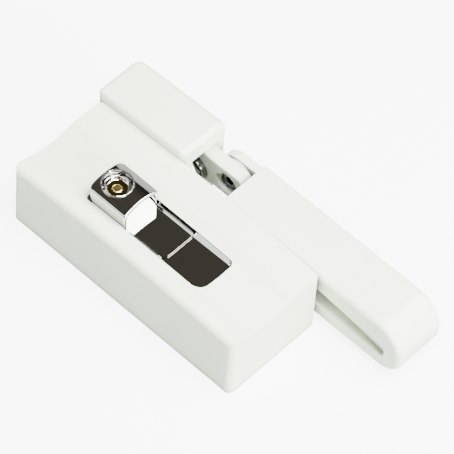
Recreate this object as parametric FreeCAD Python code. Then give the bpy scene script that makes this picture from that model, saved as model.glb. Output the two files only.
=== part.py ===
"""Folding-arm slide latch with a push-button thumb slide: one STEP file per piece.

Working frame of the dimensions below: X along the housing (the arm's free end is at +X),
Y from the front face of the housing towards the arm, Z up from the fixing face.
Every shape is moved by -CENTRE_X, -CENTRE_Y on export, so the stored origin is the middle of
the fixing face's bounding rectangle. Millimetres throughout.
"""
import FreeCAD
import Part
import math
import os

V = FreeCAD.Vector
AXIS_X = V(1, 0, 0)
AXIS_Y = V(0, 1, 0)
AXIS_Z = V(0, 0, 1)

# ---- overall envelope -------------------------------------------------------------------
ARM_TIP_X = 108.3
BLOCK_X0 = -1.6
ASSEMBLY_BACK_Y = 49.8
CENTRE_X = (ARM_TIP_X + BLOCK_X0) / 2
CENTRE_Y = ASSEMBLY_BACK_Y / 2

# ---- housing ----------------------------------------------------------------------------
BODY_L = 80.0
BODY_W = 32.9
CROWN = 1.54                      # rise of the top between its ends and its middle
CROWN_R = (BODY_L / 2) ** 2 / (2 * CROWN)
CROWN_SECTORS = 12
RIM_Z = 22.1                      # front ridge at the ends
RIM_R = 2.1
CREASE_Y, CREASE_Z = 6.6, 20.75   # front edge of the thumb channel
TROUGH_Y, TROUGH_Z = 13.6, 19.65  # lowest line of the thumb channel
CHANNEL_Y, CHANNEL_Z = 20.6, 20.3
PLATEAU_Y, PLATEAU_Z = 22.8, 21.15
REAR_Z = 20.75
WALL = 2.4
ROOF_Z = 17.8                     # underside of the roof
VERT_R = 1.8                      # outer vertical edges
SLOT_X0, SLOT_X1 = 19.9, 61.5
SLOT_Y0, SLOT_Y1 = 6.5, 19.95
BOSS_R = 3.4
BOSSES = ((6.2, 6.2), (6.2, 26.7), (73.8, 6.2), (73.8, 26.7))
SCREW_R = 1.5
SCREW_HOLE_R = 1.55

# ---- base plate and fixings -------------------------------------------------------------
PLATE_T = 2.0
PLATE_GAP = 0.15
TONGUE = (3.0, 27.0, 47.0)        # x0, x1, rear y of the plate's tongue under the guide block
INSERTS = ((11.0, 16.45), (69.0, 16.45))
INSERT_R = 3.4
INSERT_BORE_R = 1.65
INSERT_H = 6.0
BLOCK_SCREWS = ((8.0, 41.2), (22.0, 41.2))

# ---- guide block and blade --------------------------------------------------------------
BLOCK_X1 = 30.3
BLOCK_TOP_Z = 24.1
BLOCK_BACK_R = 4.0
MOUTH_Y0, MOUTH_Y1 = 36.4, 46.2
MOUTH_Z0, MOUTH_Z1 = 5.0, 19.3
MOUTH_X0 = 1.2
BLADE_X0, BLADE_X1 = 3.0, 44.3
BLADE_Y0, BLADE_Y1 = 41.2, 45.5
BLADE_Z0, BLADE_Z1 = 7.8, 18.4
GUIDE_GAP = 0.1

# ---- slide travel -----------------------------------------------------------------------
TRAVEL = 13.6

# ---- drive stud -------------------------------------------------------------------------
STUD_X, STUD_Z = 27.5, 10.5
STUD_R = 2.5
STUD_HEX_AF = 7.0
STUD_FLANGE_R = 4.4

# ---- pivot and arm ----------------------------------------------------------------------
PIVOT_X, PIVOT_Z = 38.7, 13.1
EAR_R = 6.0
EAR_Y0, EAR_Y1 = 46.0, 48.6
SINK_R = 3.75
BUSH_R, BUSH_BORE_R = 3.3, 2.85
PIVOT_PIN_R = 2.8
PIVOT_THREAD_R = 2.0
ARM_X0 = 44.8
ARM_Y0, ARM_Y1 = 33.4, 49.8
ARM_Z0, ARM_Z1 = 2.2, 19.6
ARM_EDGE_R = 1.5
ARM_TIP_TOP_R, ARM_TIP_LOW_R = 8.7, 7.0
GROOVE_Z0, GROOVE_Z1 = 6.8, 13.8  # groove in the arm's face, tallest from its left end
GROOVE_TIP_Z = 11.3               # top of the groove at its closed end
GROOVE_X1 = 103.0
GROOVE_TAPER_X = 78.0
GROOVE_DEPTH0, GROOVE_DEPTH1 = 7.0, 1.3  # groove depth at the left end and at its closed end

# ---- trays and thumb block --------------------------------------------------------------
SHEET = 0.4
RIM_T = 0.22                      # rim of the liner along the slot walls
RIM_NEAR_Z, RIM_FAR_Z = 20.79, 20.21  # tops of the liner's rims, just proud of the surface
UNDERCUT = 0.3                    # bevel under the tray's right end
LINER_SHEET = 0.5
LINER_FLOOR_Z = 20.1
TRAY_TOP_Z = 20.6
TRAY_END_X = 47.6
WING_T, WING_Z = 0.65, 21.3
THUMB_X0, THUMB_X1 = 20.15, 34.4
THUMB_Y0, THUMB_Y1 = 6.95, 19.45
THUMB_SIDE_Z, THUMB_TOP_Z = 26.45, 27.25
THUMB_SCOOP = 0.6                 # hollow of the right end face in plan
BUTTON_X, BUTTON_Y = 25.3, 13.2
BUTTON_BORE_R = 3.95
BUTTON_R = 3.85
BUTTON_Z0, BUTTON_TOP_Z = 22.2, 26.0
BUTTON_SEAT_Z = TRAY_TOP_Z - SHEET
SPRING_TOP_Z = 23.9
SPRING_HOLE_R = 2.85
LIP_R, LIP_T = 4.3, 0.25          # raised lip round the button
STEM_R = 1.5
NECK = (22.9, 32.6, 9.6, 16.3)    # x0, x1, y0, y1 of the neck through the liner

# ---- carriage and keeper ----------------------------------------------------------------
CARRIAGE = (17.6, 43.4, 6.9, 29.6, 3.6, 16.6)
KEEPER_CHANNEL = (8.7, 17.2, 11.6)
KEEPER = (15.0, 52.0, 9.4, 16.5, 7.6, 8.9)


def box(x0, x1, y0, y1, z0, z1):
    """Return a box from its six bounding planes."""
    return Part.makeBox(x1 - x0, y1 - y0, z1 - z0, V(x0, y0, z0))


def cyl_z(x, y, radius, z0, z1):
    """Return an upright cylinder."""
    return Part.makeCylinder(radius, z1 - z0, V(x, y, z0), AXIS_Z)


def cyl_y(x, z, radius, y0, y1):
    """Return a cylinder lying along Y."""
    return Part.makeCylinder(radius, y1 - y0, V(x, y0, z), AXIS_Y)


def cone_z(x, y, r0, r1, z0, z1):
    """Return an upright cone frustum, radius r0 at z0 and r1 at z1."""
    return Part.makeCone(r0, r1, z1 - z0, V(x, y, z0), AXIS_Z)


def fillet(shape, radius, chosen):
    """Fillet the edges of a solid for which chosen(edge) is true."""
    edges = [edge for edge in shape.Edges if chosen(edge)]
    return shape.makeFillet(radius, edges)


def vertical_at(points, tolerance=0.05):
    """Return a test for vertical edges that stand on one of the given (x, y) points."""
    def test(edge):
        first, last = edge.Vertexes[0].Point, edge.Vertexes[-1].Point
        if math.hypot(first.x - last.x, first.y - last.y) > tolerance:
            return False
        return any(math.hypot(first.x - x, first.y - y) < tolerance for x, y in points)
    return test


def rounded_box(x0, x1, y0, y1, z0, z1, radius):
    """Return a box with its four upright edges rounded."""
    corners = ((x0, y0), (x1, y0), (x0, y1), (x1, y1))
    return fillet(box(x0, x1, y0, y1, z0, z1), radius, vertical_at(corners))


def crowned(edges, x0, x1):
    """Sweep a closed YZ outline drawn at the housing's middle along the crown of its top.

    The sweep is made of short sectors, so that the long shallow curve keeps its shape when
    the surface is meshed.
    """
    centre = V(BODY_L / 2, 0, -CROWN_R)
    turn = 6.0
    step = 2 * turn / CROWN_SECTORS
    sectors = []
    for k in range(CROWN_SECTORS):
        face = Part.Face(Part.Wire(edges))
        face.rotate(centre, AXIS_Y, k * step - turn)
        sectors.append(face.revolve(centre, AXIS_Y, step))
    solid = sectors[0].multiFuse(sectors[1:])
    far = 100.0
    return solid.common(box(x0, x1, -far, far, -far, far))


def line(y0, z0, y1, z1):
    """Return a straight edge in the middle YZ plane, raised by the crown."""
    mid = BODY_L / 2
    return Part.makeLine(V(mid, y0, z0 + CROWN), V(mid, y1, z1 + CROWN))


def arc(y0, z0, ym, zm, y1, z1):
    """Return a three-point arc in the middle YZ plane, raised by the crown."""
    mid = BODY_L / 2
    ends = [V(mid, y, z + CROWN) for y, z in ((y0, z0), (ym, zm), (y1, z1))]
    return Part.Arc(*ends).toShape()


def countersunk_screw(x, y, radius, head_r, z0, length):
    """Return a countersunk screw that points up, with a cross recess in its head."""
    head_h = head_r - radius
    screw = cone_z(x, y, head_r, radius, z0, z0 + head_h)
    screw = screw.fuse(cyl_z(x, y, radius, z0 + head_h, z0 + length))
    arm = head_r * 0.55
    thick = head_r * 0.13
    deep = head_h * 0.6
    cross = box(x - arm, x + arm, y - thick, y + thick, z0 - 1, z0 + deep)
    cross = cross.fuse(box(x - thick, x + thick, y - arm, y + arm, z0 - 1, z0 + deep))
    return screw.cut(cross)


def pan_screw(x, y, radius, head_r, z0, head_h, length):
    """Return a cheese-head screw that points up, with a straight slot in its head."""
    screw = cyl_z(x, y, head_r, z0, z0 + head_h)
    screw = screw.fuse(cyl_z(x, y, radius, z0 + head_h, z0 + length))
    return screw.cut(box(x - head_r, x + head_r, y - 0.3, y + 0.3, z0 - 1, z0 + head_h * 0.5))


def housing():
    """White housing: crowned top with thumb channel, open underneath."""
    low = 8.0
    c45 = math.sqrt(0.5)
    top = [
        line(0, low, 0, RIM_Z - RIM_R),
        arc(0, RIM_Z - RIM_R, RIM_R * (1 - c45), RIM_Z - RIM_R * (1 - c45), RIM_R, RIM_Z),
        arc(RIM_R, RIM_Z, 4.6, 21.68, CREASE_Y, CREASE_Z),
        arc(CREASE_Y, CREASE_Z, TROUGH_Y, TROUGH_Z, CHANNEL_Y, CHANNEL_Z),
        line(CHANNEL_Y, CHANNEL_Z, PLATEAU_Y, PLATEAU_Z),
        line(PLATEAU_Y, PLATEAU_Z, BODY_W, REAR_Z),
        line(BODY_W, REAR_Z, BODY_W, low),
        line(BODY_W, low, 0, low),
    ]
    shell = crowned(top, 0, BODY_L).fuse(box(0, BODY_L, 0, BODY_W, 0, low + 3))
    shell = shell.common(rounded_box(0, BODY_L, 0, BODY_W, 0, 40, VERT_R))
    shell = shell.cut(rounded_box(WALL, BODY_L - WALL, WALL, BODY_W - WALL, -1, ROOF_Z, 1.2))
    for x, y in BOSSES:
        shell = shell.fuse(cyl_z(x, y, BOSS_R, PLATE_T + PLATE_GAP, ROOF_Z + 0.2))
    shell = shell.cut(thumb_opening())
    stud_gap = STUD_R + 0.3
    shell = shell.cut(box(STUD_X - stud_gap, STUD_X + TRAVEL + stud_gap, BODY_W - WALL - 1,
                          BODY_W + 1, STUD_Z - stud_gap, STUD_Z + stud_gap))
    shell = shell.cut(box(TONGUE[0] - PLATE_GAP, TONGUE[1] + PLATE_GAP, BODY_W - WALL - 1,
                          BODY_W + 1, -1, PLATE_T + PLATE_GAP))
    for x, y in BOSSES:
        shell = shell.cut(cyl_z(x, y, SCREW_HOLE_R, 0, 10))
    for x, y, _ in liner_fixings():
        shell = shell.cut(cyl_z(x, y, 0.95, ROOF_Z - 0.1, ROOF_Z + 1.5))
    return shell


def slot_plan(x0, x1, y0, y1, inset):
    """Upright prism with the slot's outline: one large corner at the front right."""
    prism = box(x0, x1, y0, y1, 0, 40)
    prism = fillet(prism, 3.4 - inset, vertical_at(((x1, y0),)))
    return fillet(prism, 1.4 - inset, vertical_at(((x0, y0), (x0, y1), (x1, y1))))


def thumb_opening():
    """Through cut of the thumb slot."""
    plan = slot_plan(SLOT_X0, SLOT_X1, SLOT_Y0, SLOT_Y1, 0)
    return plan.common(box(0, 100, 0, 50, ROOF_Z - 1, 40))


def guide_block():
    """White block behind the housing with the channel the blade slides in."""
    low = 8.0
    c45 = math.sqrt(0.5)
    top = BLOCK_TOP_Z
    radius = BLOCK_BACK_R
    lip = 0.9
    outline = [
        line(BODY_W, low, BODY_W, top - lip),
        arc(BODY_W, top - lip, BODY_W + lip * (1 - c45), top - lip * (1 - c45),
            BODY_W + lip, top),
        line(BODY_W + lip, top, ASSEMBLY_BACK_Y - radius, top),
        arc(ASSEMBLY_BACK_Y - radius, top, ASSEMBLY_BACK_Y - radius * (1 - c45),
            top - radius * (1 - c45), ASSEMBLY_BACK_Y, top - radius),
        line(ASSEMBLY_BACK_Y, top - radius, ASSEMBLY_BACK_Y, low),
        line(ASSEMBLY_BACK_Y, low, BODY_W, low),
    ]
    block = crowned(outline, BLOCK_X0, BLOCK_X1)
    foot = box(BLOCK_X0, BLOCK_X1, BODY_W, ASSEMBLY_BACK_Y, 0, low + 3)
    block = block.fuse(foot)
    block = fillet(block, 1.6, end_edges(BLOCK_X0, BLOCK_X1))
    block = block.cut(box(MOUTH_X0, BLOCK_X1 + 1, MOUTH_Y0, MOUTH_Y1, MOUTH_Z0, MOUTH_Z1))
    stud_gap = STUD_R + 0.3
    block = block.cut(box(STUD_X - stud_gap, BLOCK_X1 + 1, BODY_W - 1, MOUTH_Y0 + 1,
                          STUD_Z - stud_gap, STUD_Z + stud_gap))
    block = block.cut(box(TONGUE[0] - PLATE_GAP, TONGUE[1] + PLATE_GAP, BODY_W - 1,
                          TONGUE[2] + PLATE_GAP, -1, PLATE_T))
    for x, y in BLOCK_SCREWS:
        block = block.cut(cyl_z(x, y, SCREW_HOLE_R, 0, MOUTH_Z0 - 0.1))
    return block


def end_edges(x0, x1):
    """Return a test for the rim edges of both end faces, without the bottom edge."""
    def test(edge):
        box_of = edge.BoundBox
        flat = box_of.XLength < 0.01
        at_end = min(abs(box_of.XMin - x0), abs(box_of.XMin - x1)) < 0.01
        return flat and at_end and box_of.ZMax > 1.0 and box_of.YMax > BODY_W + 0.5
    return test


def base_plate():
    """Steel plate that closes the housing and carries the guide block on its tongue."""
    edge = WALL + PLATE_GAP
    plate = rounded_box(edge, BODY_L - edge, edge, BODY_W - edge, 0, PLATE_T, 1.0)
    plate = plate.fuse(box(TONGUE[0], TONGUE[1], BODY_W - edge - 1, TONGUE[2], 0, PLATE_T))
    for x, y in BOSSES + BLOCK_SCREWS:
        plate = plate.cut(cyl_z(x, y, SCREW_HOLE_R, -1, PLATE_T + 1))
        plate = plate.cut(cone_z(x, y, 3.05, SCREW_HOLE_R, 0, 1.5))
    for x, y in INSERTS:
        plate = plate.cut(cyl_z(x, y, INSERT_R - 0.6, -1, PLATE_T + 1))
    return plate.removeSplitter()


def housing_screws():
    """Four screws from the base plate into the housing bosses."""
    return Part.makeCompound([countersunk_screw(x, y, SCREW_R, 3.0, 0.05, 8.5)
                              for x, y in BOSSES])


def block_screws():
    """Two short screws from the plate's tongue into the guide block."""
    return Part.makeCompound([countersunk_screw(x, y, SCREW_R, 3.0, 0.05, MOUTH_Z0 - 0.4)
                              for x, y in BLOCK_SCREWS])


def mount_inserts():
    """Two collared threaded inserts staked into the base plate."""
    solids = []
    for x, y in INSERTS:
        insert = cyl_z(x, y, INSERT_R - 0.65, 0, PLATE_T)
        insert = insert.fuse(cyl_z(x, y, INSERT_R, PLATE_T, INSERT_H))
        insert = insert.cut(cyl_z(x, y, INSERT_BORE_R, -1, INSERT_H + 1))
        solids.append(insert.removeSplitter())
    return Part.makeCompound(solids)


def liner_fixings():
    """Positions of the liner screws, with the top of each screw."""
    return ((15.0, 13.2, ROOF_Z + 1.3), (65.6, 13.2, ROOF_Z + 1.3))


def slot_liner():
    """Chromed liner: flange under the roof, raised floor in the slot, rims along its walls."""
    gap = 0.05
    x0, x1 = SLOT_X0 + gap, SLOT_X1 - gap
    y0, y1 = SLOT_Y0 + gap, SLOT_Y1 - gap
    flange = rounded_box(11.5, 69.0, 4.2, 22.4, ROOF_Z - LINER_SHEET, ROOF_Z, 1.5)
    plan = slot_plan(x0, x1, y0, y1, gap)
    pad = plan.common(box(0, 100, 0, 50, ROOF_Z - LINER_SHEET, LINER_FLOOR_Z))
    skirt = LINER_SHEET
    core = slot_plan(x0 + skirt, x1 - skirt, y0 + skirt, y1 - skirt, gap + skirt)
    core = core.common(box(0, 100, 0, 50, ROOF_Z - 5, LINER_FLOOR_Z - LINER_SHEET))
    liner = flange.fuse(pad).cut(core)
    rims = plan.cut(box(0, 100, y0 + RIM_T, y1 - RIM_T, 0, 40))
    low = LINER_FLOOR_Z - 0.2
    far = 100.0
    sides = ((y0 - 1, y0 + 1, RIM_NEAR_Z, x1 - 3.5), (y1 - 1, y1 + 1, RIM_FAR_Z, x1 - 1.5))
    for ya, yb, top, rim_x1 in sides:
        outline = [line(ya, low, ya, top), line(ya, top, yb, top), line(yb, top, yb, low),
                   line(yb, low, ya, low)]
        under = crowned(outline, x0 + 1.5, rim_x1)
        under = under.fuse(box(x0 + 1.5, rim_x1, ya, yb, low - 3, low + CROWN))
        liner = liner.fuse(rims.common(under).common(box(0, far, 0, far, low, far)))
    window = rounded_box(NECK[0] - 0.3, NECK[1] + TRAVEL + 0.3, NECK[2] - 0.3, NECK[3] + 0.3,
                         ROOF_Z - 2, LINER_FLOOR_Z + 1, 1.0)
    liner = liner.cut(window)
    for x, y, _ in liner_fixings():
        liner = liner.cut(cyl_z(x, y, 1.05, ROOF_Z - 2, ROOF_Z + 0.1))
    return liner.removeSplitter()


def liner_screws():
    """Two small screws that hold the liner up against the roof."""
    low = ROOF_Z - LINER_SHEET - 0.9
    return Part.makeCompound([pan_screw(x, y, 0.9, 1.8, low, 0.9, top - low)
                              for x, y, top in liner_fixings()])


def blade_guide():
    """Acetal channel inside the guide block: web behind the blade, rails over and under it."""
    x0, x1 = 1.6, BLOCK_X1 - 0.2
    inner = 0.02
    guide = box(x0, x1, BLADE_Y0 + 0.4, MOUTH_Y1 - inner, MOUTH_Z0 + inner, MOUTH_Z1 - inner)
    return guide.cut(box(x0 - 1, x1 + 1, BLADE_Y0 - 1, BLADE_Y1 + GUIDE_GAP,
                         BLADE_Z0 - GUIDE_GAP, BLADE_Z1 + GUIDE_GAP))


def keeper_bridge():
    """Steel bridge on the base plate with the slot that the lock collar runs along."""
    x0, x1, y0, y1, z0, z1 = KEEPER
    leg = 1.4
    bridge = box(x0, x1, y0, y1, z0, z1)
    bridge = bridge.fuse(box(x0, x0 + leg, y0, y1, PLATE_T, z1))
    bridge = bridge.fuse(box(x1 - leg, x1, y0, y1, PLATE_T, z1))
    slot_r = 2.35
    ends = (BUTTON_X, BUTTON_X + TRAVEL)
    slot = box(ends[0], ends[1], BUTTON_Y - slot_r, BUTTON_Y + slot_r, z0 - 1, z1 + 1)
    for x in ends:
        slot = slot.fuse(cyl_z(x, BUTTON_Y, 2.7, z0 - 1, z1 + 1))
    return bridge.cut(slot).removeSplitter()


def thumb_block():
    """Chromed thumb piece: domed top, bowed left end, hollowed right end, lipped bore."""
    mid_y = (THUMB_Y0 + THUMB_Y1) / 2
    low = TRAY_TOP_Z
    section = Part.Wire([
        Part.makeLine(V(0, THUMB_Y0, low), V(0, THUMB_Y0, THUMB_SIDE_Z)),
        Part.Arc(V(0, THUMB_Y0, THUMB_SIDE_Z), V(0, mid_y, THUMB_TOP_Z),
                 V(0, THUMB_Y1, THUMB_SIDE_Z)).toShape(),
        Part.makeLine(V(0, THUMB_Y1, THUMB_SIDE_Z), V(0, THUMB_Y1, low)),
        Part.makeLine(V(0, THUMB_Y1, low), V(0, THUMB_Y0, low)),
    ])
    prism = Part.Face(section).extrude(V(100, 0, 0))
    bow = 0.35
    plan = Part.Wire([
        Part.Arc(V(THUMB_X0 + bow, THUMB_Y0, 0), V(THUMB_X0, mid_y, 0),
                 V(THUMB_X0 + bow, THUMB_Y1, 0)).toShape(),
        Part.makeLine(V(THUMB_X0 + bow, THUMB_Y1, 0), V(THUMB_X1, THUMB_Y1, 0)),
        Part.Arc(V(THUMB_X1, THUMB_Y1, 0), V(THUMB_X1 - THUMB_SCOOP, mid_y, 0),
                 V(THUMB_X1, THUMB_Y0, 0)).toShape(),
        Part.makeLine(V(THUMB_X1, THUMB_Y0, 0), V(THUMB_X0 + bow, THUMB_Y0, 0)),
    ])
    outline = Part.Face(plan).extrude(V(0, 0, 60))
    left = ((THUMB_X0 + bow, THUMB_Y0), (THUMB_X0 + bow, THUMB_Y1))
    outline = fillet(outline, 1.9, vertical_at(left))
    right = ((THUMB_X1, THUMB_Y0), (THUMB_X1, THUMB_Y1))
    outline = fillet(outline, 0.8, vertical_at(right))
    block = prism.common(outline)
    block = fillet(block, 0.6, lambda edge: edge.BoundBox.ZMin > THUMB_SIDE_Z - 0.6)
    lip_z = THUMB_TOP_Z - 0.05
    block = block.fuse(Part.makeTorus(LIP_R, LIP_T, V(BUTTON_X, BUTTON_Y, lip_z)))
    block = block.cut(cyl_z(BUTTON_X, BUTTON_Y, BUTTON_BORE_R, low - 1, 40))
    block = block.cut(cone_z(BUTTON_X, BUTTON_Y, BUTTON_BORE_R - 0.25, LIP_R,
                             lip_z - 0.35, lip_z + 0.25))
    for x, y in carriage_fixings():
        block = block.cut(cyl_z(x, y, 1.05, low - 1, 24.5))
    return block.removeSplitter()


def slide_tray():
    """Chromed tray that moves with the thumb block, with upturned long edges."""
    low = TRAY_TOP_Z - SHEET
    tray = box(THUMB_X0 + 1.0, TRAY_END_X, THUMB_Y0 + 0.1, THUMB_Y1 - 0.1, low, TRAY_TOP_Z)
    wing_x0 = THUMB_X1 + 0.1
    for y0 in (THUMB_Y0, THUMB_Y1 - WING_T):
        wing = box(wing_x0, TRAY_END_X, y0, y0 + WING_T, low, WING_Z)
        wing = fillet(wing, 0.25, lambda edge: edge.BoundBox.ZMin > WING_Z - 0.01
                      and edge.BoundBox.YLength < 0.01)
        tray = tray.fuse(wing)
    plan = box(0, TRAY_END_X, THUMB_Y0, THUMB_Y1, 0, 40)
    plan = fillet(plan, 3.2, vertical_at(((TRAY_END_X, THUMB_Y0),)))
    plan = fillet(plan, 1.2, vertical_at(((TRAY_END_X, THUMB_Y1),)))
    tray = tray.common(plan)
    wedge = Part.makePolygon([V(TRAY_END_X - UNDERCUT, 0, low), V(TRAY_END_X + 1, 0, low),
                              V(TRAY_END_X + 1, 0, low + UNDERCUT + 1),
                              V(TRAY_END_X - UNDERCUT, 0, low)])
    tray = tray.cut(Part.Face(wedge).extrude(V(0, 40, 0)))
    tray = tray.cut(cyl_z(BUTTON_X, BUTTON_Y, SPRING_HOLE_R, low - 1, TRAY_TOP_Z + 1))
    for x, y in carriage_fixings():
        tray = tray.cut(cyl_z(x, y, 1.05, low - 1, TRAY_TOP_Z + 1))
    return tray.removeSplitter()


def carriage_fixings():
    """Positions of the screws that join carriage, tray and thumb block."""
    return ((31.2, 11.0), (31.2, 15.0))


def carriage():
    """Die-cast carriage under the liner, with the neck that carries tray and thumb block."""
    x0, x1, y0, y1, z0, z1 = CARRIAGE
    body = rounded_box(x0, x1, y0, y1, z0, z1, 1.5)
    neck = rounded_box(NECK[0], NECK[1], NECK[2], NECK[3], z1 - 1, TRAY_TOP_Z - SHEET, 0.8)
    body = body.fuse(neck)
    body = body.cut(box(x0 - 1, x1 + 1, KEEPER_CHANNEL[0], KEEPER_CHANNEL[1], z0 - 1,
                        KEEPER_CHANNEL[2]))
    body = body.cut(cyl_z(BUTTON_X, BUTTON_Y, STEM_R + 0.08, z0, TRAY_TOP_Z))
    body = body.cut(cyl_y(STUD_X, STUD_Z, STUD_R + 0.03, 19.0, y1 + 1))
    body = body.cut(box(33.5, x1 - 2.4, 19.4, y1 - 2.4, z0 - 1, z1 - 3.0))
    body = body.cut(cyl_z(STUD_X, 24.0, 1.55, z0 - 1, STUD_Z))
    for x, y in carriage_fixings():
        body = body.cut(cyl_z(x, y, 1.05, z0, TRAY_TOP_Z))
        body = body.cut(cyl_z(x, y, 1.95, z0, KEEPER_CHANNEL[2] + 1.3))
    return body.removeSplitter()


def carriage_screws():
    """Two screws up through carriage and tray into the thumb block."""
    low = KEEPER_CHANNEL[2]
    return Part.makeCompound([pan_screw(x, y, 1.0, 1.9, low, 1.3, 24.0 - low)
                              for x, y in carriage_fixings()])


def runner_pads():
    """Two acetal strips under the carriage that run on the base plate."""
    x0, x1, y0, y1, z0, _ = CARRIAGE
    low = PLATE_T + GUIDE_GAP
    inset = 0.4
    front = box(x0 + 1, x1 - 1, y0 + inset, KEEPER_CHANNEL[0] - 0.1, low, z0)
    rear = box(x0 + 1, x1 - 1, y1 - inset - 1.9, y1 - inset, low, z0)
    return Part.makeCompound([front, rear])


def drive_stud():
    """Bright stud from carriage to blade, with a hexagon and a flange against the blade."""
    stud = cyl_y(STUD_X, STUD_Z, STUD_R, 19.2, 36.8)
    corner_r = STUD_HEX_AF / math.sqrt(3)
    corners = []
    for k in range(7):
        a = math.radians(30 + 60 * k)
        corners.append(V(STUD_X + corner_r * math.cos(a), 36.7, STUD_Z + corner_r * math.sin(a)))
    hexagon = Part.Face(Part.makePolygon(corners)).extrude(V(0, 2.8, 0))
    dome = Part.makeCone(corner_r - 0.7, corner_r + 2.0, 2.9, V(STUD_X, 36.65, STUD_Z), AXIS_Y)
    stud = stud.fuse(hexagon.common(dome))
    flange = cyl_y(STUD_X, STUD_Z, STUD_FLANGE_R, 39.4, BLADE_Y0)
    flange = fillet(flange, 0.5, lambda edge: edge.BoundBox.YMax < 39.5)
    stud = stud.fuse(flange)
    stud = stud.fuse(cyl_y(STUD_X, STUD_Z, 2.0, BLADE_Y0, BLADE_Y1 - 0.2))
    return stud.removeSplitter()


def stud_screw():
    """Grub screw in the carriage that locks the drive stud."""
    top = STUD_Z - STUD_R
    screw = cyl_z(STUD_X, 24.0, 1.5, top - 3.2, top)
    return screw.cut(cyl_z(STUD_X, 24.0, 0.75, top - 4, top - 1.7))


def blade():
    """White flat bar through the guide block, countersunk for the arm's pivot."""
    bar = box(BLADE_X0, BLADE_X1, BLADE_Y0, BLADE_Y1, BLADE_Z0, BLADE_Z1)
    bar = fillet(bar, 2.8, lambda edge: edge.BoundBox.XMin > BLADE_X1 - 0.01
                 and edge.BoundBox.ZLength < 0.01)
    bar = fillet(bar, 0.5, lambda edge: edge.BoundBox.ZMin > BLADE_Z1 - 0.01
                 and edge.BoundBox.YLength < 0.01)
    bar = bar.cut(cyl_y(PIVOT_X, PIVOT_Z, BUSH_R, BLADE_Y0 - 1, BLADE_Y1 + 1))
    sink = Part.makeCone(SINK_R, BUSH_R, 0.8, V(PIVOT_X, BLADE_Y0, PIVOT_Z), AXIS_Y)
    bar = bar.cut(sink)
    bar = bar.cut(cyl_y(STUD_X, STUD_Z, 2.03, BLADE_Y0 - 1, BLADE_Y1 + 1))
    return bar.removeSplitter()


def pivot_bush():
    """Steel bush pressed into the blade for the arm's pivot."""
    outer = cyl_y(PIVOT_X, PIVOT_Z, BUSH_R, BLADE_Y0 + 0.9, BLADE_Y1)
    return outer.cut(cyl_y(PIVOT_X, PIVOT_Z, BUSH_BORE_R, BLADE_Y0 - 1, BLADE_Y1 + 1))


def pivot_screw():
    """Shoulder screw that turns in the bush and is screwed into the arm's ear."""
    screw = cyl_y(PIVOT_X, PIVOT_Z, PIVOT_PIN_R, BLADE_Y0 + 1.3, EAR_Y0)
    screw = screw.fuse(cyl_y(PIVOT_X, PIVOT_Z, PIVOT_THREAD_R, EAR_Y0, EAR_Y1 - 0.2))
    corners = []
    for k in range(7):
        a = math.radians(60 * k)
        corners.append(V(PIVOT_X + 1.45 * math.cos(a), BLADE_Y0 + 1, PIVOT_Z + 1.45 * math.sin(a)))
    socket = Part.Face(Part.makePolygon(corners)).extrude(V(0, 2.0, 0))
    return screw.cut(socket).removeSplitter()


def friction_washer():
    """Thin washer between blade and ear that gives the arm its drag."""
    y0 = BLADE_Y1 + 0.08
    ring = cyl_y(PIVOT_X, PIVOT_Z, 5.0, y0, EAR_Y0)
    return ring.cut(cyl_y(PIVOT_X, PIVOT_Z, PIVOT_PIN_R + 0.05, y0 - 1, EAR_Y0 + 1))


def arm():
    """White folding arm: round-ended casting with a groove in its face and the pivot ear."""
    shell = box(ARM_X0, ARM_TIP_X, ARM_Y0, ARM_Y1, ARM_Z0, ARM_Z1)
    for radius, z in ((ARM_TIP_TOP_R, ARM_Z1), (ARM_TIP_LOW_R, ARM_Z0)):
        shell = fillet(shell, radius, lambda edge, z=z: edge.BoundBox.XMin > ARM_TIP_X - 0.01
                       and abs(edge.BoundBox.ZMin - z) < 0.01
                       and edge.BoundBox.ZLength < 0.01)
    shell = fillet(shell, ARM_EDGE_R, long_edges)
    shell = shell.cut(arm_groove()).cut(blade_relief())
    ear = cyl_y(PIVOT_X, PIVOT_Z, EAR_R, EAR_Y0, EAR_Y1)
    ear = ear.fuse(box(PIVOT_X, ARM_X0 + 2, EAR_Y0, EAR_Y1, PIVOT_Z - EAR_R, PIVOT_Z + EAR_R))
    ear = ear.removeSplitter()
    shell = shell.fuse(ear)
    shell = shell.cut(cyl_y(PIVOT_X, PIVOT_Z, PIVOT_THREAD_R + 0.03, EAR_Y0 - 1, EAR_Y1 - 0.15))
    return shell.removeSplitter()


def arm_groove():
    """Groove in the arm's face: level lower ledge, back wall that comes forward to the right."""
    x0, y0 = ARM_X0 - 1, ARM_Y0 - 1
    side = Part.makePolygon([V(x0, y0, GROOVE_Z0), V(GROOVE_X1, y0, GROOVE_Z0),
                             V(GROOVE_X1, y0, GROOVE_TIP_Z), V(GROOVE_TAPER_X, y0, GROOVE_Z1),
                             V(x0, y0, GROOVE_Z1), V(x0, y0, GROOVE_Z0)])
    groove = Part.Face(side).extrude(V(0, GROOVE_DEPTH0 + 1, 0))
    groove = fillet(groove, 2.0, lambda edge: edge.BoundBox.XMin > GROOVE_X1 - 0.01
                    and edge.BoundBox.ZLength < 0.01)
    plan = Part.makePolygon([V(x0, y0, 0), V(GROOVE_X1 + 1, y0, 0),
                             V(GROOVE_X1 + 1, ARM_Y0 + GROOVE_DEPTH1, 0),
                             V(x0, ARM_Y0 + GROOVE_DEPTH0, 0), V(x0, y0, 0)])
    return groove.common(Part.Face(plan).extrude(V(0, 0, 40)))


def blade_relief():
    """Shallow pocket in the arm's left end that the blade's round end turns in."""
    reach = 7.0
    drum = cyl_y(PIVOT_X, PIVOT_Z, reach, BLADE_Y0 - 0.4, EAR_Y0)
    return drum.common(box(ARM_X0 - 1, ARM_X0 + 5, 0, 60, 0, ARM_Z1 - 2.0))


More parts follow.
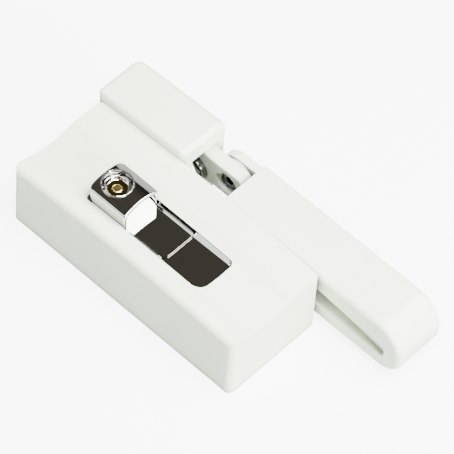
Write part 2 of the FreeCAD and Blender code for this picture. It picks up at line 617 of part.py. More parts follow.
def long_edges(edge):
    """True for the arm's outer long edges, tip curve included."""
    bounds = edge.BoundBox
    if bounds.YLength > 0.01:
        return False
    on_side = min(abs(bounds.YMin - ARM_Y0), abs(bounds.YMin - ARM_Y1)) < 0.01
    upright = bounds.XLength < 0.01
    return on_side and not upright


def push_button():
    """Chromed release button with a dished face, hollow underneath for its spring."""
    button = cyl_z(BUTTON_X, BUTTON_Y, BUTTON_R, BUTTON_Z0, BUTTON_TOP_Z)
    button = fillet(button, 0.25, lambda edge: edge.BoundBox.ZMin > BUTTON_TOP_Z - 0.01)
    dish_r, dish_d = 3.45, 1.3
    ball_r = (dish_r ** 2 + dish_d ** 2) / (2 * dish_d)
    ball = Part.makeSphere(ball_r, V(BUTTON_X, BUTTON_Y, BUTTON_TOP_Z - dish_d + ball_r))
    button = button.cut(ball)
    button = button.cut(cyl_z(BUTTON_X, BUTTON_Y, 3.1, 21.0, SPRING_TOP_Z))
    return button.cut(cyl_z(BUTTON_X, BUTTON_Y, STEM_R, 21.0, BUTTON_TOP_Z + 1))


def button_stem():
    """Brass stem riveted through the button, down to the lock collar."""
    stem = cyl_z(BUTTON_X, BUTTON_Y, STEM_R, 6.4, 25.0)
    return fillet(stem, 0.5, lambda edge: edge.BoundBox.ZMin > 24.9)


def lock_collar():
    """Steel collar on the stem that runs in the keeper bridge."""
    collar = cyl_z(BUTTON_X, BUTTON_Y, 2.1, 6.9, 9.6)
    collar = collar.fuse(cyl_z(BUTTON_X, BUTTON_Y, 2.6, 9.3, 10.0))
    return collar.cut(cyl_z(BUTTON_X, BUTTON_Y, STEM_R, 6, 11)).removeSplitter()


def button_spring():
    """Coil spring between the thumb block's seat and the button."""
    wire_r, coil_r = 0.3, 2.35
    z0, z1 = BUTTON_SEAT_Z + wire_r, SPRING_TOP_Z - wire_r
    turns = 2.5
    height = z1 - z0
    helix = Part.makeHelix(height / turns, height, coil_r)
    helix.translate(V(BUTTON_X, BUTTON_Y, z0))
    start = V(BUTTON_X + coil_r, BUTTON_Y, z0)
    ring = Part.Wire(Part.makeCircle(wire_r, start, AXIS_Y))
    return Part.Wire(helix.Edges).makePipeShell([ring], True, True)


PIECES = {
    "housing": housing,
    "guide_block": guide_block,
    "base_plate": base_plate,
    "housing_screws": housing_screws,
    "block_screws": block_screws,
    "mount_inserts": mount_inserts,
    "slot_liner": slot_liner,
    "liner_screws": liner_screws,
    "blade_guide": blade_guide,
    "keeper_bridge": keeper_bridge,
    "thumb_block": thumb_block,
    "slide_tray": slide_tray,
    "carriage": carriage,
    "carriage_screws": carriage_screws,
    "runner_pads": runner_pads,
    "drive_stud": drive_stud,
    "stud_screw": stud_screw,
    "blade": blade,
    "pivot_bush": pivot_bush,
    "pivot_screw": pivot_screw,
    "friction_washer": friction_washer,
    "arm": arm,
    "push_button": push_button,
    "button_stem": button_stem,
    "lock_collar": lock_collar,
    "button_spring": button_spring,
}

os.makedirs("parts", exist_ok=True)
for name, make in PIECES.items():
    shape = make()
    shape.translate(V(-CENTRE_X, -CENTRE_Y, 0))
    shape.exportStep("parts/" + name + ".step")
    print(name, "valid", shape.isValid(), "solids", len(shape.Solids), "volume",
          round(shape.Volume, 2))
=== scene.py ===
"""Looks for a folding-arm slide latch: finishes, fine pieces, pale floor and soft light."""
import math

import bmesh
import bpy
from mathutils import Matrix, Vector


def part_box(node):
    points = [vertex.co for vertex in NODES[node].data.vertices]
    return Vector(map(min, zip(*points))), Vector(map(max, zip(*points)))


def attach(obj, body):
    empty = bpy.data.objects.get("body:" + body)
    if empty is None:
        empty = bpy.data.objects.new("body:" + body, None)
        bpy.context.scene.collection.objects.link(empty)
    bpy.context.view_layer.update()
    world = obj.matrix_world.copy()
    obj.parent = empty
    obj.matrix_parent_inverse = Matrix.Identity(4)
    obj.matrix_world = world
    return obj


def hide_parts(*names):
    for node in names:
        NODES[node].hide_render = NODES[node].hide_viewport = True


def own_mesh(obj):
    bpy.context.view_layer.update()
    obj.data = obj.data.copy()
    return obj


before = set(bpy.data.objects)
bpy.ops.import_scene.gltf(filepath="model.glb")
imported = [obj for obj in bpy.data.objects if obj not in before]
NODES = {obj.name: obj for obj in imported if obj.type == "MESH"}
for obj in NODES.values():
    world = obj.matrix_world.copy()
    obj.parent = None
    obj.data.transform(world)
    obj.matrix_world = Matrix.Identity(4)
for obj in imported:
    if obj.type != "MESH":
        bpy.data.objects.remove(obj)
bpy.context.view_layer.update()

bl_info = {
    "name": "Slide latch looks",
    "version": (1, 0, 0),
    "blender": (4, 5, 0),
    "location": "3D View > Sidebar > Latch",
    "description": "Finishes, fine pieces and studio for a folding-arm slide latch",
    "category": "Object",
}

# All lengths are in metres.
BUTTON_LOW, BUTTON_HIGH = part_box("push_button")
BUTTON_MID = (BUTTON_LOW + BUTTON_HIGH) / 2
SPRING_LOW, SPRING_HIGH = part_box("button_spring")

# The button's section: radius and depth below its top unless said otherwise.
DISH_FLOOR = ((0.0, 0.00128), (0.0010, 0.00127), (0.0020, 0.00122))
COVE_MIDDLE = (0.00255, 0.00062)
COVE_RADIUS = 0.00055
COVE_LIP = (0.00312, 0.00040)
RIM_RADIUS = 0.00034
SKIRT_WALL = 0.00075
SKIRT_CHAMFER = 0.0001
ARC_STEPS = 8
TURN_STEPS = 96

# Where the brass dish gives way to chrome, and how sharply.
DISH_RADIUS = 0.0026
DISH_BLUR = 0.00006

# The spring's wire, its turns, and the steps along one turn and round the wire.
WIRE_RADIUS = 0.00026
COIL_TURNS = 3.5
COIL_STEPS = 40
WIRE_SIDES = 10

# Edges sharper than this stay crisp under smooth shading.
CREASE_DEGREES = 32.0

# The floor lies this far under the latch, and light paths this short pass through it.
FLOOR_DROP = 0.00002
FLOOR_REACH = 0.001
FLOOR_SIDES = 96

# Colours laid over the finishes: painted shade in gaps, and real tones in clouds and patches.
GAP_SHADE_COLOUR = (0.10, 0.112, 0.108)
SHADE_BLACK = (0.012, 0.012, 0.011)
PATINA = (0.56, 0.38, 0.11)
PASSIVATION = (0.62, 0.58, 0.42)
WIRE_BRIGHT = (0.52, 0.52, 0.53)
WIRE_DULL = (0.36, 0.36, 0.38)

# Each soft light's name, place and width; its power is in LatchStudio.
SOFTBOXES = (("key", (0.26, 0.0, 1.13), 0.50),
             ("end", (1.05, -0.12, 0.42), 0.45),
             ("glint", (0.42, 0.47, 0.86), 0.44),
             ("front", (-0.40, -0.62, 0.78), 0.52),
             ("strip", (-0.45, 0.93, 0.62), 0.40))
LIGHT_TARGET = Vector((0.0, 0.0, 0.01))

# Sky ramp: place along the upward direction, and colour.
SKY_RIM = (0.60, (0.37, 0.38, 0.36, 1.0))
SKY_DARK = (0.63, (0.008, 0.008, 0.007, 1.0))
SKY_OVERHEAD = (0.78, (0.080, 0.076, 0.060, 1.0))

CAMERA_PLACE = (0.407067, -0.483851, 0.915664)
CAMERA_TURN = ((0.7208551, -0.5846461, 0.3722322),
               (0.6915214, 0.5706339, -0.4429166),
               (0.0465412, 0.5766852, 0.8156397))
CAMERA_CLIP = (0.05, 20.0)
SENSOR_WIDTH = 36.0


# ---- sizes and colours a user would change --------------------------------------------------

def tone(name, description, default):
    """Describe one colour setting."""
    return bpy.props.FloatVectorProperty(name=name, description=description, default=default,
                                         size=3, min=0.0, max=1.0, subtype="COLOR")


def watts(name, description, default):
    """Describe the power setting of one light."""
    return bpy.props.FloatProperty(name=name, description=description, default=default,
                                   min=0.0, unit="POWER")


class LatchColours(bpy.types.PropertyGroup):
    """Colours of the latch's finishes."""

    enamel: tone("Enamel", "Off-white powder coat on housing, block, bar and arm",
                 (0.752, 0.83, 0.665))
    enamel_shade: tone("Enamel shade", "Slightly duller patches in the powder coat",
                       (0.725, 0.805, 0.635))
    chrome: tone("Chrome", "Mirror plating of thumb block, tray, liner, button rim and stud",
                 (0.62, 0.62, 0.60))
    brass: tone("Brass", "Turned brass of button dish, stem and inserts",
                (0.78, 0.60, 0.20))
    zinc: tone("Zinc plating", "Zinc plate on base, bridge and screws; steel of the bush",
               (0.56, 0.58, 0.60))
    black_oxide: tone("Black oxide", "Oiled black steel of pivot screw, grub screw and collar",
                      (0.060, 0.058, 0.055))
    casting: tone("Casting", "Bare die casting of the hidden carriage",
                  (0.46, 0.47, 0.48))
    acetal: tone("Acetal", "Natural acetal of guide, pads and washer",
                 (0.80, 0.79, 0.75))
    floor: tone("Floor", "Pale studio floor",
                (0.42, 0.42, 0.42))


class LatchStudio(bpy.types.PropertyGroup):
    """Sizes and strengths of the studio."""

    floor_size: bpy.props.FloatProperty(
        name="Floor size", description="Width of the floor", default=6.0, min=1.0,
        unit="LENGTH")
    key_watts: watts("Key light", "Power of the overhead light", 58.0)
    end_watts: watts("End light", "Power of the light beyond the arm", 50.0)
    glint_watts: watts("Glint light", "Power of the light seen in the thumb block's end", 22.0)
    front_watts: watts("Front light", "Power of the light in front", 3.4)
    strip_watts: watts("Strip light", "Power of the small light low behind", 0.4)
    floor_glow: bpy.props.FloatProperty(
        name="Floor glow", description="How far the floor is burnt out towards white",
        default=6.0, min=0.0)
    sky: bpy.props.FloatProperty(
        name="Sky strength", description="Strength of the surrounding light", default=1.0,
        min=0.0)
    lens: bpy.props.FloatProperty(
        name="Lens", description="Focal length on a 36 mm sensor", default=333.12, min=20.0,
        unit="CAMERA")


def colours():
    return bpy.context.scene.latch_colours


def studio():
    return bpy.context.scene.latch_studio


# ---- material building ----------------------------------------------------------------------

class Finish:
    """A material under construction, with short calls for the nodes it needs."""

    def __init__(self, name, centre=(0.0, 0.0, 0.0)):
        self.material = bpy.data.materials.new(name)
        self.material.use_nodes = True
        self.tree = self.material.node_tree
        self.shader = self.tree.nodes["Principled BSDF"]
        self.place = self.node("ShaderNodeMapping")
        coords = self.node("ShaderNodeTexCoord")
        self.join(coords.outputs["Object"], self.place.inputs["Vector"])
        self.place.inputs["Location"].default_value = [-c for c in centre]

    def node(self, kind, **settings):
        made = self.tree.nodes.new(kind)
        for key, value in settings.items():
            setattr(made, key, value)
        return made

    def join(self, source, target):
        self.tree.links.new(source, target)

    def set(self, **values):
        """Set constant sockets of the shader by name."""
        for key, value in values.items():
            socket = self.shader.inputs[key.replace("_", " ")]
            if socket.type == "RGBA" and len(value) == 3:
                value = (*value, 1.0)
            socket.default_value = value

    def stretched(self, stretch):
        """Return object coordinates scaled along each axis."""
        made = self.node("ShaderNodeMapping")
        made.inputs["Scale"].default_value = stretch
        self.join(self.place.outputs["Vector"], made.inputs["Vector"])
        return made.outputs["Vector"]

    def texture(self, kind, settings, stretch=None, **values):
        """Add a texture over object coordinates with these settings and constant sockets."""
        made = self.node(kind, **settings)
        for key, value in values.items():
            made.inputs[key].default_value = value
        source = self.stretched(stretch) if stretch else self.place.outputs["Vector"]
        self.join(source, made.inputs["Vector"])
        return made

    def noise(self, scale, detail=2.0, rough=0.5, stretch=None):
        made = self.texture("ShaderNodeTexNoise", {}, stretch,
                            Scale=scale, Detail=detail, Roughness=rough)
        return made.outputs["Fac"]

    def cells(self, scale):
        return self.texture("ShaderNodeTexVoronoi", {}, Scale=scale)

    def rings(self, scale, distortion=0.0):
        """Return rings about the upright axis."""
        made = self.texture("ShaderNodeTexWave",
                            {"wave_type": "RINGS", "rings_direction": "Z"},
                            Scale=scale, Distortion=distortion, Detail=1.0)
        return made.outputs["Fac"]

    def bands(self, scale, direction="Z"):
        made = self.texture("ShaderNodeTexWave",
                            {"wave_type": "BANDS", "bands_direction": direction},
                            Scale=scale, Detail=0.0)
        return made.outputs["Fac"]

    def map(self, source, low, high, out_low, out_high):
        """Carry low..high of source to out_low..out_high, clamped."""
        made = self.node("ShaderNodeMapRange")
        self.join(source, made.inputs["Value"])
        ends = {"From Min": low, "From Max": high, "To Min": out_low, "To Max": out_high}
        for key, value in ends.items():
            made.inputs[key].default_value = value
        return made.outputs["Result"]

    def combine(self, first, second, operation="MULTIPLY"):
        """Do arithmetic on two values; each is a socket or a number."""
        made = self.node("ShaderNodeMath", operation=operation)
        for slot, value in zip(made.inputs, (first, second)):
            if isinstance(value, float):
                slot.default_value = value
            else:
                self.join(value, slot)
        return made.outputs["Value"]

    def blend(self, amount, first, second):
        """Mix two colours; each is a socket or three numbers."""
        made = self.node("ShaderNodeMix", data_type="RGBA")
        ends = [s for s in made.inputs if s.type == "RGBA"]
        for slot, value in zip(ends, (first, second)):
            if isinstance(value, bpy.types.NodeSocket):
                self.join(value, slot)
            else:
                slot.default_value = (*value, 1.0)
        factor = made.inputs[0]
        if isinstance(amount, float):
            factor.default_value = amount
        else:
            self.join(amount, factor)
        return [s for s in made.outputs if s.type == "RGBA"][0]

    def bump(self, *layers):
        """Stack bumps, each (height, strength, distance), onto the shader's normal."""
        last = None
        for height, strength, distance in layers:
            made = self.node("ShaderNodeBump")
            made.inputs["Strength"].default_value = strength
            made.inputs["Distance"].default_value = distance
            self.join(height, made.inputs["Height"])
            if last:
                self.join(last, made.inputs["Normal"])
            last = made.outputs["Normal"]
        self.join(last, self.shader.inputs["Normal"])

    def cavity(self, reach):
        """Return 0 in tight corners and 1 in the open."""
        made = self.node("ShaderNodeAmbientOcclusion", samples=8)
        made.inputs["Distance"].default_value = reach
        return made.outputs["AO"]

    def colour(self, source):
        self.join(source, self.shader.inputs["Base Color"])

    def roughness(self, source):
        self.join(source, self.shader.inputs["Roughness"])


def tint(colour, factor):
    return tuple(min(1.0, c * factor) for c in colour)


def enamel(name, reach=0.0032, depth=0.80, unshaded_from=0.82):
    """Satin powder coat: fine orange peel, faint clouding, and painted shade in the gaps
    within reach, broken up by noise.
    """
    c = colours()
    f = Finish(name)
    cloud = f.map(f.noise(55.0, 3.0, 0.6), 0.35, 0.65, 0.0, 1.0)
    speck = f.map(f.noise(1900.0, 2.0), 0.62, 0.72, 0.0, 0.35)
    coat = f.blend(cloud, tuple(c.enamel), tuple(c.enamel_shade))
    coat = f.blend(speck, coat, tint(c.enamel_shade, 0.93))
    # Painted shade: the coat turns grey-green in corners and gaps within reach, patchy through
    # a noise.
    corner = f.map(f.cavity(reach), 0.15, unshaded_from, depth, 0.0)
    patchy_shade = f.combine(corner, f.map(f.noise(420.0, 3.0), 0.3, 0.7, 0.82, 1.0))
    coat = f.blend(patchy_shade, coat, GAP_SHADE_COLOUR)
    f.colour(coat)
    f.roughness(f.map(f.noise(310.0, 4.0), 0.3, 0.7, 0.36, 0.50))
    f.bump((f.noise(1150.0, 2.0, 0.45), 0.22, 0.00002),
           (f.noise(6200.0, 1.0), 0.10, 0.000006))
    f.set(Coat_Weight=0.22, Coat_Roughness=0.16, IOR=1.5, Specular_IOR_Level=0.42)
    return f.material


def chrome(name, rough=0.045, gap_shade=0.0, streaks=0.045):
    """Mirror plating: polishing lines, handling marks, tiny pits and, when asked, painted
    shade in tight gaps.
    """
    bright = tuple(colours().chrome)
    f = Finish(name)
    lines = f.noise(900.0, 2.0, 0.6, stretch=(0.18, 1.0, 1.0))
    smudge = f.map(f.noise(190.0, 4.0, 0.6), 0.52, 0.72, 0.0, 1.0)
    pits = f.map(f.cells(1300.0).outputs["Distance"], 0.0, 0.10, 1.0, 0.0)
    plate = f.blend(f.combine(smudge, 0.35), bright, tint(bright, 0.90))
    # Painted shade: the plating turns near-black in gaps within 12 mm.
    if gap_shade:
        corner = f.map(f.cavity(0.012), 0.20, 0.92, gap_shade, 0.0)
        plate = f.blend(corner, plate, SHADE_BLACK)
    f.colour(plate)
    fine = f.map(lines, 0.3, 0.7, rough * 0.7, rough * 1.4)
    f.roughness(f.combine(fine, f.combine(smudge, 0.05), "ADD"))
    f.bump((lines, streaks, 0.000010), (pits, 0.10, 0.000004))
    f.set(Metallic=1.0, Anisotropic=0.15)
    return f.material


def button_metal(name):
    """Chromed rim round a polished brass dish, with turning rings about the button's axis;
    both metals are darkened as painted shade of the dish.
    """
    c = colours()
    f = Finish(name, BUTTON_MID)
    length = f.node("ShaderNodeVectorMath", operation="LENGTH")
    f.join(f.stretched((1.0, 1.0, 0.0)), length.inputs[0])
    rim = f.map(length.outputs["Value"], DISH_RADIUS, DISH_RADIUS + DISH_BLUR, 0.0, 1.0)
    smudge = f.map(f.noise(500.0, 4.0, 0.6), 0.45, 0.7, 0.0, 1.0)
    # Painted shade: the dish's brass is darkened to 42-62 % and the rim's chrome to 80 % of
    # their colours.
    dish = f.blend(smudge, tint(c.brass, 0.62), tint(c.brass, 0.42))
    f.colour(f.blend(rim, dish, tint(c.chrome, 0.80)))
    gloss = f.map(smudge, 0.0, 1.0, 0.03, 0.07)
    f.roughness(f.combine(gloss, f.combine(rim, 0.01), "ADD"))
    f.bump((f.rings(2200.0), 0.05, 0.000006))
    f.set(Metallic=1.0)
    return f.material


def brass(name, centre, knurl=0.0):
    """Turned brass: tool rings about the upright through centre, warm patina in clouds."""
    c = colours()
    f = Finish(name, centre)
    rings = f.rings(2600.0, 0.4)
    patina = f.map(f.noise(420.0, 4.0, 0.6), 0.4, 0.7, 0.0, 0.75)
    metal = f.blend(patina, tuple(c.brass), PATINA)
    f.colour(metal)
    f.roughness(f.map(f.noise(800.0, 3.0), 0.3, 0.7, 0.14, 0.30))
    layers = [(rings, 0.16, 0.000012)]
    if knurl:
        diamond = f.combine(f.bands(knurl, "DIAGONAL"), f.bands(knurl))
        layers.append((diamond, 0.5, 0.00006))
    f.bump(*layers)
    f.set(Metallic=1.0)
    return f.material


def zinc(name):
    """Bright zinc plate: rolled grain, spangle and a faint passivation tint."""
    c = colours()
    f = Finish(name)
    grain = f.noise(1500.0, 3.0, 0.6, stretch=(0.15, 1.0, 1.0))
    spangle = f.cells(260.0).outputs["Color"]
    grey = f.node("ShaderNodeRGBToBW")
    f.join(spangle, grey.inputs["Color"])
    patch = f.map(grey.outputs["Val"], 0.2, 0.9, 0.0, 0.45)
    metal = f.blend(patch, tuple(c.zinc), tint(c.zinc, 0.80))
    tinge = f.map(f.noise(75.0, 2.0), 0.42, 0.66, 0.0, 0.30)
    metal = f.blend(tinge, metal, PASSIVATION)
    f.colour(metal)
    f.roughness(f.map(grain, 0.3, 0.7, 0.24, 0.42))
    f.bump((grain, 0.14, 0.00001), (grey.outputs["Val"], 0.05, 0.000008))
    f.set(Metallic=1.0, Anisotropic=0.3)
    return f.material


def screw_metal(name, colour, thread=0.0):
    """Turned screw stock; a thread, if any, is a fine bump along the upright axis."""
    f = Finish(name)
    mottled = f.map(f.noise(700.0, 4.0, 0.6), 0.35, 0.7, 0.0, 0.6)
    metal = f.blend(mottled, tuple(colour), tint(colour, 0.72))
    f.colour(metal)
    f.roughness(f.map(f.noise(1600.0, 2.0), 0.3, 0.7, 0.22, 0.40))
    layers = [(f.noise(2400.0, 2.0), 0.12, 0.000012)]
    if thread:
        layers.append((f.bands(thread), 0.55, 0.00012))
    f.bump(*layers)
    f.set(Metallic=1.0)
    return f.material


def cast_metal(name):
    """As-cast alloy: grainy skin, flow marks and painted shade in the hollows."""
    c = colours()
    f = Finish(name)
    flow = f.map(f.noise(130.0, 4.0, 0.65, stretch=(0.4, 1.0, 1.0)), 0.35, 0.7, 0.0, 0.8)
    metal = f.blend(flow, tuple(c.casting), tint(c.casting, 0.76))
    # Painted shade: the casting darkens to 45 % of its colour in hollows within 1.5 mm.
    corner = f.map(f.cavity(0.0015), 0.2, 0.9, 0.7, 0.0)
    f.colour(f.blend(corner, metal, tint(c.casting, 0.45)))
    f.roughness(f.map(f.noise(900.0, 3.0), 0.3, 0.7, 0.42, 0.62))
    f.bump((f.noise(2100.0, 3.0, 0.65), 0.35, 0.00003), (f.noise(330.0, 2.0), 0.15, 0.00005))
    f.set(Metallic=0.9)
    return f.material


def slippery_plastic(name):
    """Natural acetal: milky, waxy and faintly machined."""
    c = colours()
    f = Finish(name)
    milk = f.map(f.noise(160.0, 3.0), 0.35, 0.7, 0.0, 0.7)
    f.colour(f.blend(milk, tuple(c.acetal), tint(c.acetal, 0.92)))
    f.roughness(f.map(f.noise(900.0, 2.0), 0.3, 0.7, 0.34, 0.46))
    f.bump((f.noise(1800.0, 2.0, 0.5, stretch=(0.12, 1.0, 1.0)), 0.15, 0.00002))
    f.set(Subsurface_Weight=0.12, Subsurface_Scale=0.001, IOR=1.48)
    return f.material


def spring_wire(name):
    """Drawn wire: bright, with duller patches and a fine bumpy skin."""
    f = Finish(name)
    dulled = f.map(f.noise(1500.0, 2.0), 0.3, 0.7, 0.0, 1.0)
    f.colour(f.blend(dulled, WIRE_BRIGHT, WIRE_DULL))
    f.roughness(f.map(f.noise(2600.0, 2.0), 0.3, 0.7, 0.18, 0.32))
    f.bump((f.noise(5200.0, 2.0), 0.12, 0.000006))
    f.set(Metallic=1.0)
    return f.material


def floor_paper(name):
    """Plain pale paper for the floor, clear from below so that the fixing face stays lit."""
    c = colours()
    f = Finish(name)
    cloud = f.map(f.noise(3.0, 2.0), 0.3, 0.7, 0.0, 1.0)
    f.colour(f.blend(cloud, tuple(c.floor), tint(c.floor, 0.985)))
    clear = f.node("ShaderNodeBsdfTransparent")
    sides = f.node("ShaderNodeMixShader")
    path = f.node("ShaderNodeLightPath")
    below = f.node("ShaderNodeNewGeometry").outputs["Backfacing"]
    near = f.combine(path.outputs["Ray Length"], FLOOR_REACH, "LESS_THAN")
    f.join(f.combine(below, near, "MAXIMUM"), sides.inputs["Fac"])
    f.join(f.shader.outputs["BSDF"], sides.inputs[1])
    f.join(clear.outputs["BSDF"], sides.inputs[2])
    f.join(sides.outputs["Shader"], f.tree.nodes["Material Output"].inputs["Surface"])
    glow = f.combine(path.outputs["Is Camera Ray"], studio().floor_glow)
    f.join(glow, f.shader.inputs["Emission Strength"])
    f.set(Roughness=0.75, Specular_IOR_Level=0.2, Emission_Color=(1.0, 1.0, 1.0))
    return f.material


def link(name, bm, material):
    """Turn a bmesh into an object of the scene with one material, smooth except at creases."""
    bmesh.ops.recalc_face_normals(bm, faces=bm.faces)
    mesh = bpy.data.meshes.new(name)
    bm.to_mesh(mesh)
    bm.free()
    mesh.materials.append(material)
    mesh.polygons.foreach_set("use_smooth", [True] * len(mesh.polygons))
    mesh.set_sharp_from_angle(angle=math.radians(CREASE_DEGREES))
    made = bpy.data.objects.new(name, mesh)
    bpy.context.scene.collection.objects.link(made)
    return made


def coat(material, *names):
    """Give CAD nodes this material through their material slots."""
    for name in names:
        slots = NODES[name].material_slots
        if not slots:
            NODES[name].data.materials.append(material)
        for slot in slots:
            slot.material = material


# ---- operators ------------------------------------------------------------------------------

class LATCH_OT_enamelled(bpy.types.Operator):
    """Powder coat on housing, guide block, blade and arm"""

    bl_idname = "latch.enamelled"
    bl_label = "Enamelled pieces"

    def execute(self, context):
        coat(enamel("housing_enamel"), "housing", "guide_block")
        # Blade and arm get wider and deeper painted shade in their gaps than the housing.
        coat(enamel("blade_enamel", reach=0.012, depth=0.95, unshaded_from=0.97), "blade")
        coat(enamel("arm_enamel", reach=0.0065, depth=0.90), "arm")
        return {"FINISHED"}


class LATCH_OT_thumb_piece(bpy.types.Operator):
    """Mirror plating on thumb piece, trays and button"""

    bl_idname = "latch.thumb_piece"
    bl_label = "Thumb piece and trays"

    def execute(self, context):
        coat(chrome("thumb_chrome", rough=0.06, streaks=0.16), "thumb_block")
        coat(chrome("tray_chrome", rough=0.03), "slide_tray", "slot_liner")
        button = build_button(button_metal("button_metal"))
        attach(button, "button")
        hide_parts("push_button")
        coat(brass("stem_brass", BUTTON_MID), "button_stem")
        return {"FINISHED"}


class LATCH_OT_drive_and_pivot(bpy.types.Operator):
    """Bright stud, black pivot screw, steel bush and drag washer"""

    bl_idname = "latch.drive_and_pivot"
    bl_label = "Stud and pivot"

    def execute(self, context):
        c = colours()
        # The stud's plating turns near-black in its gaps as painted shade.
        coat(chrome("stud_chrome", rough=0.06, gap_shade=0.9), "drive_stud")
        coat(screw_metal("bush_steel", tuple(c.zinc)), "pivot_bush")
        coat(screw_metal("black_screw", tuple(c.black_oxide)), "pivot_screw", "stud_screw",
             "lock_collar")
        coat(slippery_plastic("drag_washer"), "friction_washer")
        return {"FINISHED"}


class LATCH_OT_hidden_works(bpy.types.Operator):
    """Carriage, guide, pads, bridge and spring inside the housing"""

    bl_idname = "latch.hidden_works"
    bl_label = "Hidden works"

    def execute(self, context):
        coat(cast_metal("carriage_casting"), "carriage")
        coat(slippery_plastic("guide_acetal"), "blade_guide", "runner_pads")
        coat(zinc("bridge_zinc"), "keeper_bridge")
        spring = build_spring(spring_wire("spring_wire"))
        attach(spring, "slide")
        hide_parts("button_spring")
        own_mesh(spring)
        return {"FINISHED"}


class LATCH_OT_base_and_fixings(bpy.types.Operator):
    """Base plate, threaded inserts and all the small screws"""

    bl_idname = "latch.base_and_fixings"
    bl_label = "Base and fixings"

    def execute(self, context):
        c = colours()
        coat(zinc("plate_zinc"), "base_plate")
        coat(brass("insert_brass", (0.0, 0.0, 0.0), knurl=900.0), "mount_inserts")
        coat(screw_metal("screw_zinc", tuple(c.zinc), thread=640.0), "housing_screws",
             "block_screws", "liner_screws", "carriage_screws")
        return {"FINISHED"}


class LATCH_OT_stage(bpy.types.Operator):
    """Pale floor, soft lights and the camera"""

    bl_idname = "latch.stage"
    bl_label = "Stage"

    def execute(self, context):
        s = studio()
        build_floor(s.floor_size)
        for name, place, size in SOFTBOXES:
            softbox(name + "_light", place, size, getattr(s, name + "_watts"))
        build_sky(s.sky)
        build_camera(s.lens)
        return {"FINISHED"}


def build_button(material):
    """Turn the button: rounded rim, coved wall, shallow dish and a hollow for the spring."""
    outer = (BUTTON_HIGH.x - BUTTON_LOW.x) / 2
    top, low = BUTTON_HIGH.z, BUTTON_LOW.z
    seat = SPRING_HIGH.z
    bore = outer - SKIRT_WALL
    profile = [(radius, top - depth) for radius, depth in DISH_FLOOR]
    for step in range(ARC_STEPS + 1):
        turn = math.pi / 2 * step / ARC_STEPS
        profile.append((COVE_MIDDLE[0] + COVE_RADIUS * math.sin(turn),
                        top - COVE_MIDDLE[1] - COVE_RADIUS * math.cos(turn)))
    profile.append((COVE_LIP[0], top - COVE_LIP[1]))
    for step in range(ARC_STEPS + 1):
        turn = math.pi * step / ARC_STEPS
        profile.append((outer - RIM_RADIUS - RIM_RADIUS * math.cos(turn),
                        top - RIM_RADIUS + RIM_RADIUS * math.sin(turn)))
    profile += [(outer, low + SKIRT_CHAMFER), (outer - SKIRT_CHAMFER, low),
                (bore + SKIRT_CHAMFER, low), (bore, low + SKIRT_CHAMFER),
                (bore, seat - SKIRT_CHAMFER), (bore - SKIRT_CHAMFER, seat), (0.0, seat)]
    return turned("press_button", profile, BUTTON_MID, material)


def turned(name, profile, centre, material):
    """Turn a (radius, height) profile that starts and ends on the axis through centre."""
    bm = bmesh.new()
    start, *middle, end = [(r, Vector((centre.x, centre.y, z))) for r, z in profile]
    poles = bm.verts.new(start[1]), bm.verts.new(end[1])
    rings = []
    for step in range(TURN_STEPS):
        angle = 2 * math.pi * step / TURN_STEPS
        out = Vector((math.cos(angle), math.sin(angle), 0.0))
        rings.append([bm.verts.new(foot + out * r) for r, foot in middle])
    for near, far in zip(rings, rings[1:] + rings[:1]):
        bm.faces.new((poles[0], near[0], far[0]))
        bm.faces.new((poles[1], far[-1], near[-1]))
        for corners in zip(near, near[1:], far[1:], far):
            bm.faces.new(corners)
    return link(name, bm, material)


def build_spring(material):
    """Coil the button's spring: open middle turns between a closed turn at each end."""
    middle = (SPRING_LOW + SPRING_HIGH) / 2
    radius = (SPRING_HIGH.x - SPRING_LOW.x) / 2 - WIRE_RADIUS
    low, high = SPRING_LOW.z + WIRE_RADIUS, SPRING_HIGH.z - WIRE_RADIUS
    pitch = 2.0 * WIRE_RADIUS
    closed = 1.0 / COIL_TURNS
    steps = int(COIL_TURNS * COIL_STEPS)
    bm = bmesh.new()
    rings = []
    for step in range(steps + 1):
        share = step / steps
        angle = 2 * math.pi * COIL_TURNS * share
        rise = min(1.0, max(0.0, (share - closed) / (1.0 - 2 * closed)))
        end = pitch * (min(share, closed) + max(share + closed - 1.0, 0.0)) / closed
        z = low + end + (high - low - 2.0 * pitch) * rise
        out = Vector((math.cos(angle), math.sin(angle), 0.0))
        centre = Vector((middle.x, middle.y, z)) + out * radius
        ring = []
        for side in range(WIRE_SIDES):
            turn = 2 * math.pi * side / WIRE_SIDES
            offset = out * math.cos(turn) + Vector((0.0, 0.0, math.sin(turn)))
            ring.append(bm.verts.new(centre + offset * WIRE_RADIUS))
        rings.append(ring)
    for first, second in zip(rings, rings[1:]):
        for side in range(WIRE_SIDES):
            after = (side + 1) % WIRE_SIDES
            bm.faces.new((first[side], first[after], second[after], second[side]))
    bm.faces.new(rings[0])
    bm.faces.new(reversed(rings[-1]))
    return link("press_spring", bm, material)


def build_floor(size):
    """Make the round floor under the latch."""
    bm = bmesh.new()
    bmesh.ops.create_circle(bm, cap_ends=True, cap_tris=False, segments=FLOOR_SIDES,
                            radius=size / 2)
    bmesh.ops.translate(bm, verts=bm.verts, vec=(0.0, 0.0, -FLOOR_DROP))
    mesh = bpy.data.meshes.new("floor")
    bm.to_mesh(mesh)
    bm.free()
    floor = bpy.data.objects.new("floor", mesh)
    bpy.context.scene.collection.objects.link(floor)
    mesh.materials.append(floor_paper("floor_paper"))


def softbox(name, place, size, power):
    """Make a square area light at place that faces the latch."""
    light = bpy.data.lights.new(name, "AREA")
    light.shape = "SQUARE"
    light.size = size
    light.energy = power
    lamp = bpy.data.objects.new(name, light)
    bpy.context.scene.collection.objects.link(lamp)
    lamp.location = place
    lamp.rotation_mode = "QUATERNION"
    lamp.rotation_quaternion = (LIGHT_TARGET - Vector(place)).to_track_quat("-Z", "Y")


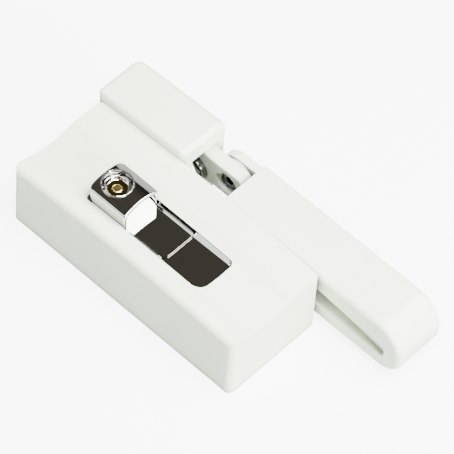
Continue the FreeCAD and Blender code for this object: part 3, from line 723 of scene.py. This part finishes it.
def build_sky(strength):
    """Make the surroundings: pale low down, nearly black above that, dim overhead."""
    world = bpy.data.worlds.new("studio_sky")
    world.use_nodes = True
    bpy.context.scene.world = world
    nodes, links = world.node_tree.nodes, world.node_tree.links
    back = nodes["Background"]
    back.inputs["Strength"].default_value = strength
    coords = nodes.new("ShaderNodeTexCoord")
    split = nodes.new("ShaderNodeSeparateXYZ")
    ramp = nodes.new("ShaderNodeValToRGB")
    stops = ramp.color_ramp.elements
    stops[0].position, stops[0].color = SKY_RIM
    stops[1].position, stops[1].color = SKY_DARK
    stops.new(SKY_OVERHEAD[0]).color = SKY_OVERHEAD[1]
    links.new(coords.outputs["Generated"], split.inputs["Vector"])
    links.new(split.outputs["Z"], ramp.inputs["Fac"])
    links.new(ramp.outputs["Color"], back.inputs["Color"])


def build_camera(lens):
    """Make the long-lens camera at its place above the front right corner."""
    data = bpy.data.cameras.new("camera")
    data.lens = lens
    data.sensor_width = SENSOR_WIDTH
    data.clip_start, data.clip_end = CAMERA_CLIP
    camera = bpy.data.objects.new("camera", data)
    bpy.context.scene.collection.objects.link(camera)
    turn = Matrix(CAMERA_TURN).to_4x4()
    camera.matrix_world = Matrix.Translation(CAMERA_PLACE) @ turn
    bpy.context.scene.camera = camera


# ---- panel and registration -----------------------------------------------------------------

STEPS = (LATCH_OT_enamelled, LATCH_OT_thumb_piece, LATCH_OT_drive_and_pivot,
         LATCH_OT_hidden_works, LATCH_OT_base_and_fixings, LATCH_OT_stage)


class LATCH_PT_panel(bpy.types.Panel):
    """Sidebar panel with the colours, the studio and the build steps"""

    bl_idname = "LATCH_PT_panel"
    bl_label = "Slide latch"
    bl_space_type = "VIEW_3D"
    bl_region_type = "UI"
    bl_category = "Latch"

    def draw(self, context):
        for group in (context.scene.latch_colours, context.scene.latch_studio):
            column = self.layout.column()
            for key in group.bl_rna.properties.keys():
                if key not in ("rna_type", "name"):
                    column.prop(group, key)
        for step in STEPS:
            self.layout.operator(step.bl_idname)


CLASSES = (LatchColours, LatchStudio, *STEPS, LATCH_PT_panel)


def register():
    for cls in CLASSES:
        bpy.utils.register_class(cls)
    bpy.types.Scene.latch_colours = bpy.props.PointerProperty(type=LatchColours)
    bpy.types.Scene.latch_studio = bpy.props.PointerProperty(type=LatchStudio)


def unregister():
    del bpy.types.Scene.latch_studio
    del bpy.types.Scene.latch_colours
    for cls in reversed(CLASSES):
        bpy.utils.unregister_class(cls)


def main():
    register()
    bpy.ops.latch.enamelled()
    bpy.ops.latch.thumb_piece()
    bpy.ops.latch.drive_and_pivot()
    bpy.ops.latch.hidden_works()
    bpy.ops.latch.base_and_fixings()
    bpy.ops.latch.stage()


if __name__ == "__main__":
    main()
